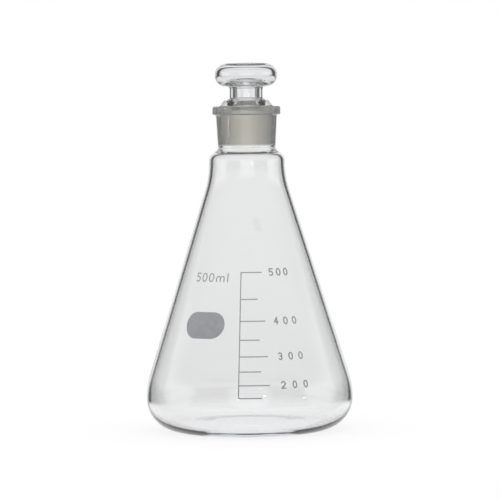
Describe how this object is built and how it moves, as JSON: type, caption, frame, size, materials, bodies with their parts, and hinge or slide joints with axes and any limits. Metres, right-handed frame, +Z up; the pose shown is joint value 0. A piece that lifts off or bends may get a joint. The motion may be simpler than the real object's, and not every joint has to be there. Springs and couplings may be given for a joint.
{
  "type": "stoppered erlenmeyer flask",
  "caption": "Conical clear glass laboratory flask with a ground socket, a flat-headed ground glass stopper that lifts out, and a printed volume scale.",
  "frame": {"origin": "centre of the base, on the surface that the flask stands on", "axes": "+Z up along the flask's axis, -Y out of the side that carries the printed scale, +X to the right of someone who reads it"},
  "size_m": [0.1067, 0.1066, 0.1898],
  "materials": {
    "flask_glass": "clear and smooth, with a ground matt zone inside the neck and over the rim",
    "stopper_glass": "clear and smooth head and stem, with a ground matt plug",
    "fired_print": "matt grey fired enamel"
  },
  "bodies": {
    "flask": {"flask_body": "flask_glass", "graduation_scale": "fired_print", "scale_numbers": "fired_print", "capacity_mark": "fired_print", "marking_spot": "fired_print"},
    "stopper": {"stopper": "stopper_glass"}
  },
  "joints": [
    {"name": "stopper_lift", "type": "slide", "parent": "flask", "child": "stopper", "axis": [0, 0, 1], "range_m": [0, 0.045]}
  ]
}
